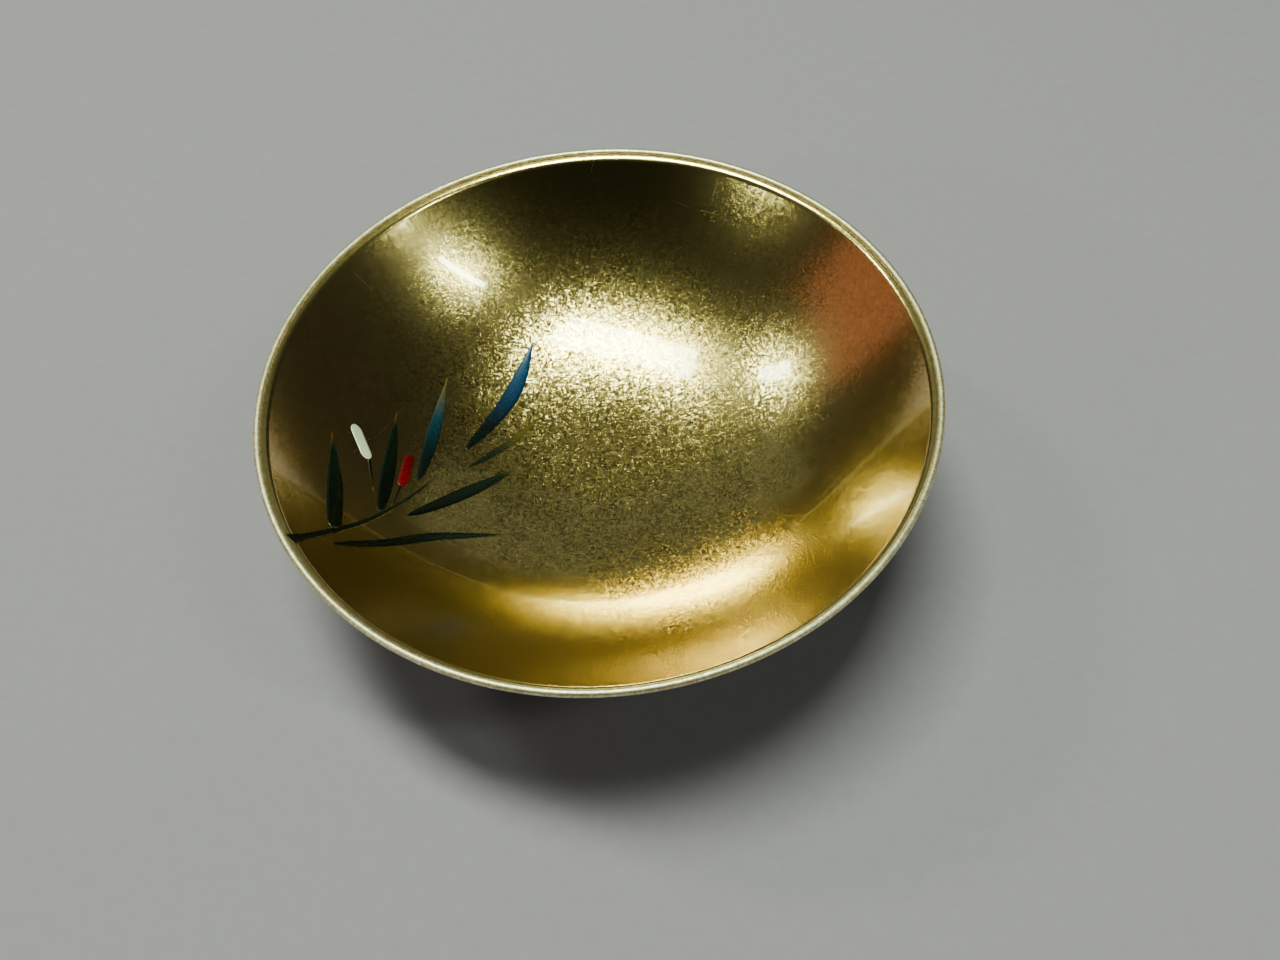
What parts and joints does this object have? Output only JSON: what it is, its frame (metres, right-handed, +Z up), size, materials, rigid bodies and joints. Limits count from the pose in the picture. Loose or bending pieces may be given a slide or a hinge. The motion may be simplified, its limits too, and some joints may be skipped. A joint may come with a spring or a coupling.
{
  "type": "lacquered drinking cup",
  "caption": "Shallow round footed cup with a flaring thin-lipped bowl, gilded inside and black lacquered outside, with a painted leafy sprig and buds on the gilding.",
  "frame": {"origin": "centre of the foot's resting face, on the table", "axes": "+Z up along the cup's axis; -X towards the side of the rim that the painted sprig grows from; the sprig's twig starts at the lip at about 210 degrees from +X"},
  "size_m": [0.09, 0.09, 0.03],
  "materials": {
    "turned_wood": "fine turned wood, sealed under the lacquer",
    "black_lacquer": "polished black lacquer",
    "gilding": "satin gilding with fine grain and hairline scratches under clear lacquer",
    "dark_green_paint": "glossy brushed lacquer paint, nearly black green",
    "blue_green_paint": "glossy brushed lacquer paint, green to deep blue",
    "olive_paint": "thin brushed lacquer paint that the gilding shows through",
    "white_paint": "glossy off-white lacquer paint",
    "red_paint": "glossy red lacquer paint"
  },
  "bodies": {
    "root": {"wood_core": "turned_wood", "foot_ring": "black_lacquer", "outer_lacquer": "black_lacquer", "foot_well_lacquer": "black_lacquer", "gold_lining": "gilding", "gold_lip": "gilding", "branch": "dark_green_paint", "leaf_1": "dark_green_paint", "leaf_2": "dark_green_paint", "leaf_3": "blue_green_paint", "leaf_4": "blue_green_paint", "leaf_5": "olive_paint", "leaf_6": "dark_green_paint", "leaf_7": "dark_green_paint", "white_bud": "white_paint", "white_bud_stem": "dark_green_paint", "red_bud": "red_paint", "red_bud_stem": "dark_green_paint"}
  },
  "joints": []
}
